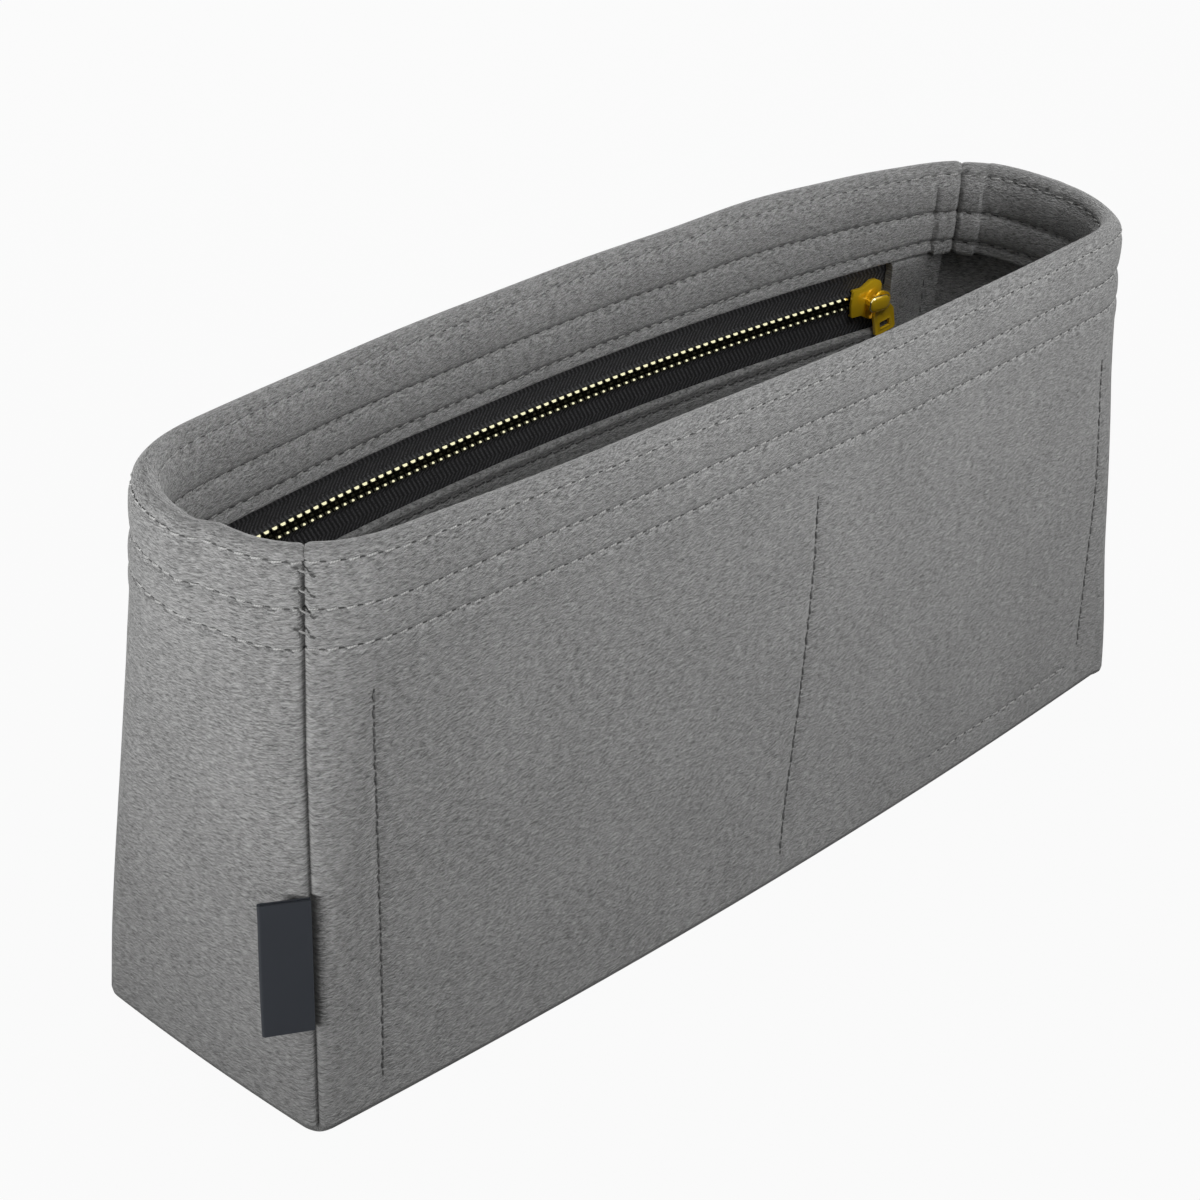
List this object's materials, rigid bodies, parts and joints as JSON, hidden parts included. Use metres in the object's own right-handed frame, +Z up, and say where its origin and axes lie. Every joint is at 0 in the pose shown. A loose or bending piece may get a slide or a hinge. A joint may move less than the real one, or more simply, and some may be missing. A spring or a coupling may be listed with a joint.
{
  "type": "handbag organizer insert",
  "caption": "Open-topped felt insert that organizes a handbag, with a turned stitched hem, slip pockets inside the front wall and a zipped pocket inside the back wall.",
  "frame": {"origin": "centre of the tub's base, on the surface the insert stands on", "axes": "+X along the tub's length, +Y from the front wall to the zipped back wall, +Z up"},
  "size_m": [0.3084, 0.0877, 0.1373],
  "materials": {
    "outer_felt": "pressed grey felt, short fibres",
    "inner_felt": "pressed grey felt, short fibres",
    "zip_tape": "black woven tape",
    "zip_brass": "polished, darkened",
    "slider_brass": "polished",
    "label_satin": "dark woven satin, bare"
  },
  "bodies": {
    "tub": {"front_wrap": "outer_felt", "back_wrap": "outer_felt", "base_panel": "outer_felt", "slip_pocket_panel": "inner_felt", "zip_pocket_panel": "inner_felt", "upper_tape": "zip_tape", "lower_tape": "zip_tape", "upper_teeth": "zip_brass", "lower_teeth": "zip_brass", "upper_top_stop": "zip_brass", "lower_top_stop": "zip_brass", "bottom_stop": "zip_brass", "side_label": "label_satin"},
    "slider": {"slider_body": "slider_brass", "slider_bail": "slider_brass"},
    "pull": {"pull_tab": "slider_brass"}
  },
  "joints": [
    {"name": "slider_travel", "type": "hinge", "parent": "tub", "child": "slider", "pos_m": [0, -0.79801, 0.1018], "axis": [0, 0, 1], "range_deg": [0, 15.2], "deforming": ["upper_teeth", "lower_teeth"]},
    {"name": "pull_swing", "type": "hinge", "parent": "slider", "child": "pull", "pos_m": [0.11615, 0.02718, 0.1018], "axis": [-0.1344, -0.9909, 0], "range_deg": [-32, 188]}
  ]
}
